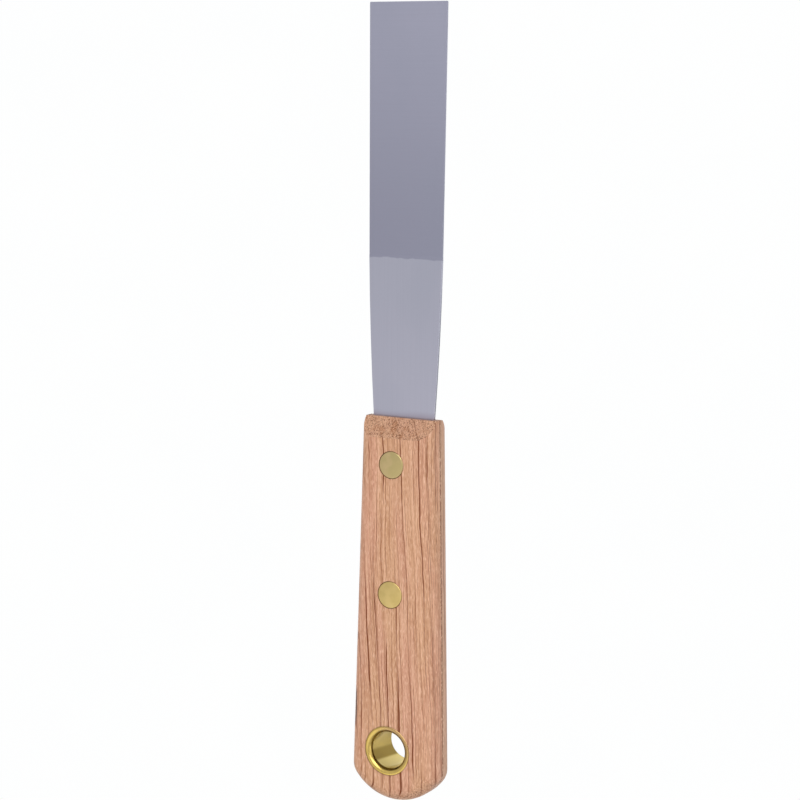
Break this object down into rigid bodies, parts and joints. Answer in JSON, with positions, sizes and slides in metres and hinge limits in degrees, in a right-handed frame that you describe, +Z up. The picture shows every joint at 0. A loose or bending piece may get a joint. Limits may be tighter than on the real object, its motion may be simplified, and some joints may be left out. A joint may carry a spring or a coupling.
{
  "type": "flexible putty knife",
  "caption": "Narrow flexible putty knife: a ground steel blade riveted between wooden scales, with a brass-lined hanging hole in the handle.",
  "frame": {"origin": "on the resting plane, half way along the knife and on its centre line, with the knife lying on the back of its handle", "axes": "+X along the knife towards the blade's tip, +Y across it, +Z up out of the front of the handle"},
  "size_m": [0.2316, 0.0286, 0.0128],
  "materials": {
    "blade_steel": "fine satin, ground darker from the grind line to the tip",
    "handle_wood": "open-grained red oak, sanded and thinly lacquered",
    "rivet_brass": "satin, sanded flush with the wood",
    "eyelet_brass": "bright, polished"
  },
  "bodies": {
    "root": {"blade": "blade_steel", "front_scale": "handle_wood", "rear_scale": "handle_wood", "upper_rivet_male": "rivet_brass", "upper_rivet_female": "rivet_brass", "lower_rivet_male": "rivet_brass", "lower_rivet_female": "rivet_brass", "hang_eyelet": "eyelet_brass"}
  },
  "joints": []
}
